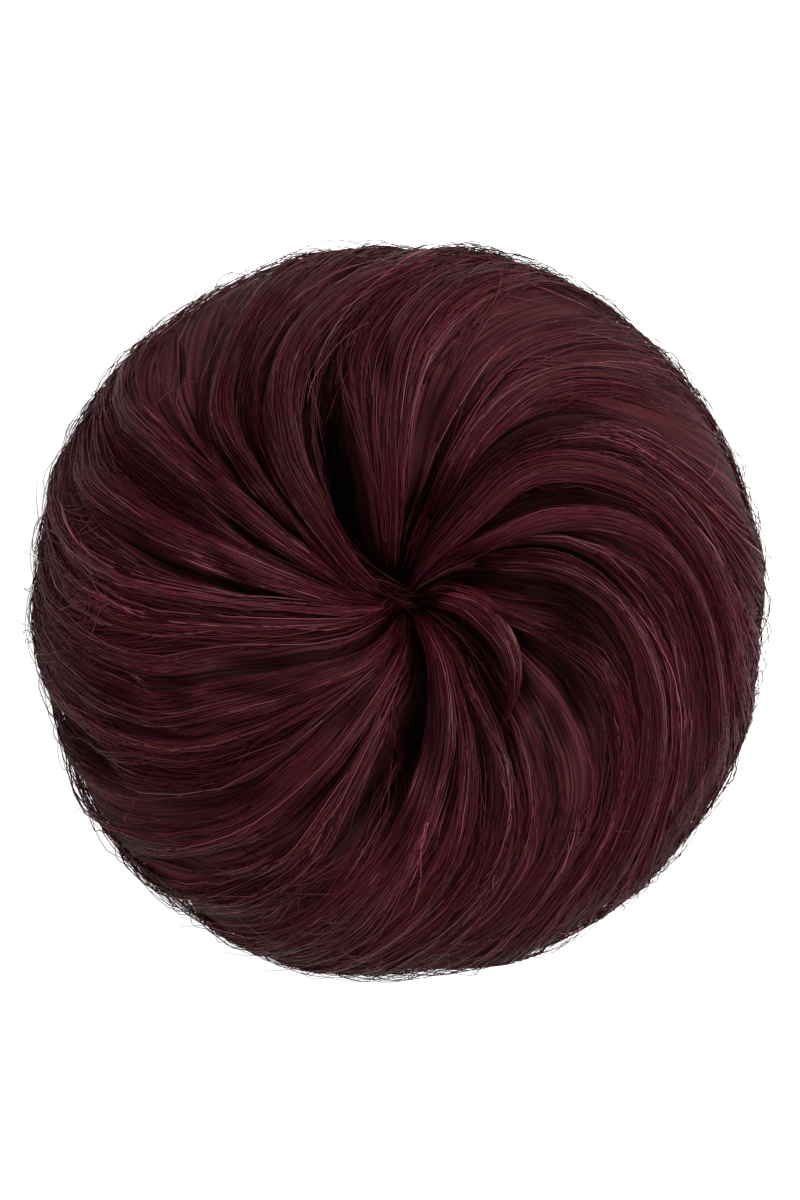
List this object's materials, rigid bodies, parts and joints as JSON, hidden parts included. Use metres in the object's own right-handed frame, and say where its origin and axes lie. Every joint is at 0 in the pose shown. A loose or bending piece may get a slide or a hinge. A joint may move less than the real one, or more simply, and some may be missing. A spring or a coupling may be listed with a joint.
{
  "type": "top knot hairpiece",
  "caption": "Round messy-bun hairpiece of swirled synthetic hair on an elastic band, lying on its back, with an open hollow for the wearer's own knot.",
  "frame": {"origin": "middle of the footprint, on the flat of the back that rests on the surface", "axes": "+Z out of the front of the bun, away from the wearer's head; +Y towards the top of the bun as pictured; +X to its right"},
  "size_m": [0.119, 0.1182, 0.0548],
  "materials": {
    "hair": "satin",
    "elastic": "matte"
  },
  "bodies": {
    "root": {"hair_ring": "hair", "lock_right_low": "hair", "lock_right": "hair", "lock_right_high": "hair", "lock_top_right": "hair", "lock_top": "hair", "lock_left_high": "hair", "lock_left_upper": "hair", "lock_left": "hair", "lock_left_lower": "hair", "lock_low_left": "hair", "lock_bottom_left": "hair", "lock_bottom": "hair", "lock_front_curl": "hair", "elastic_band": "elastic"}
  },
  "joints": []
}
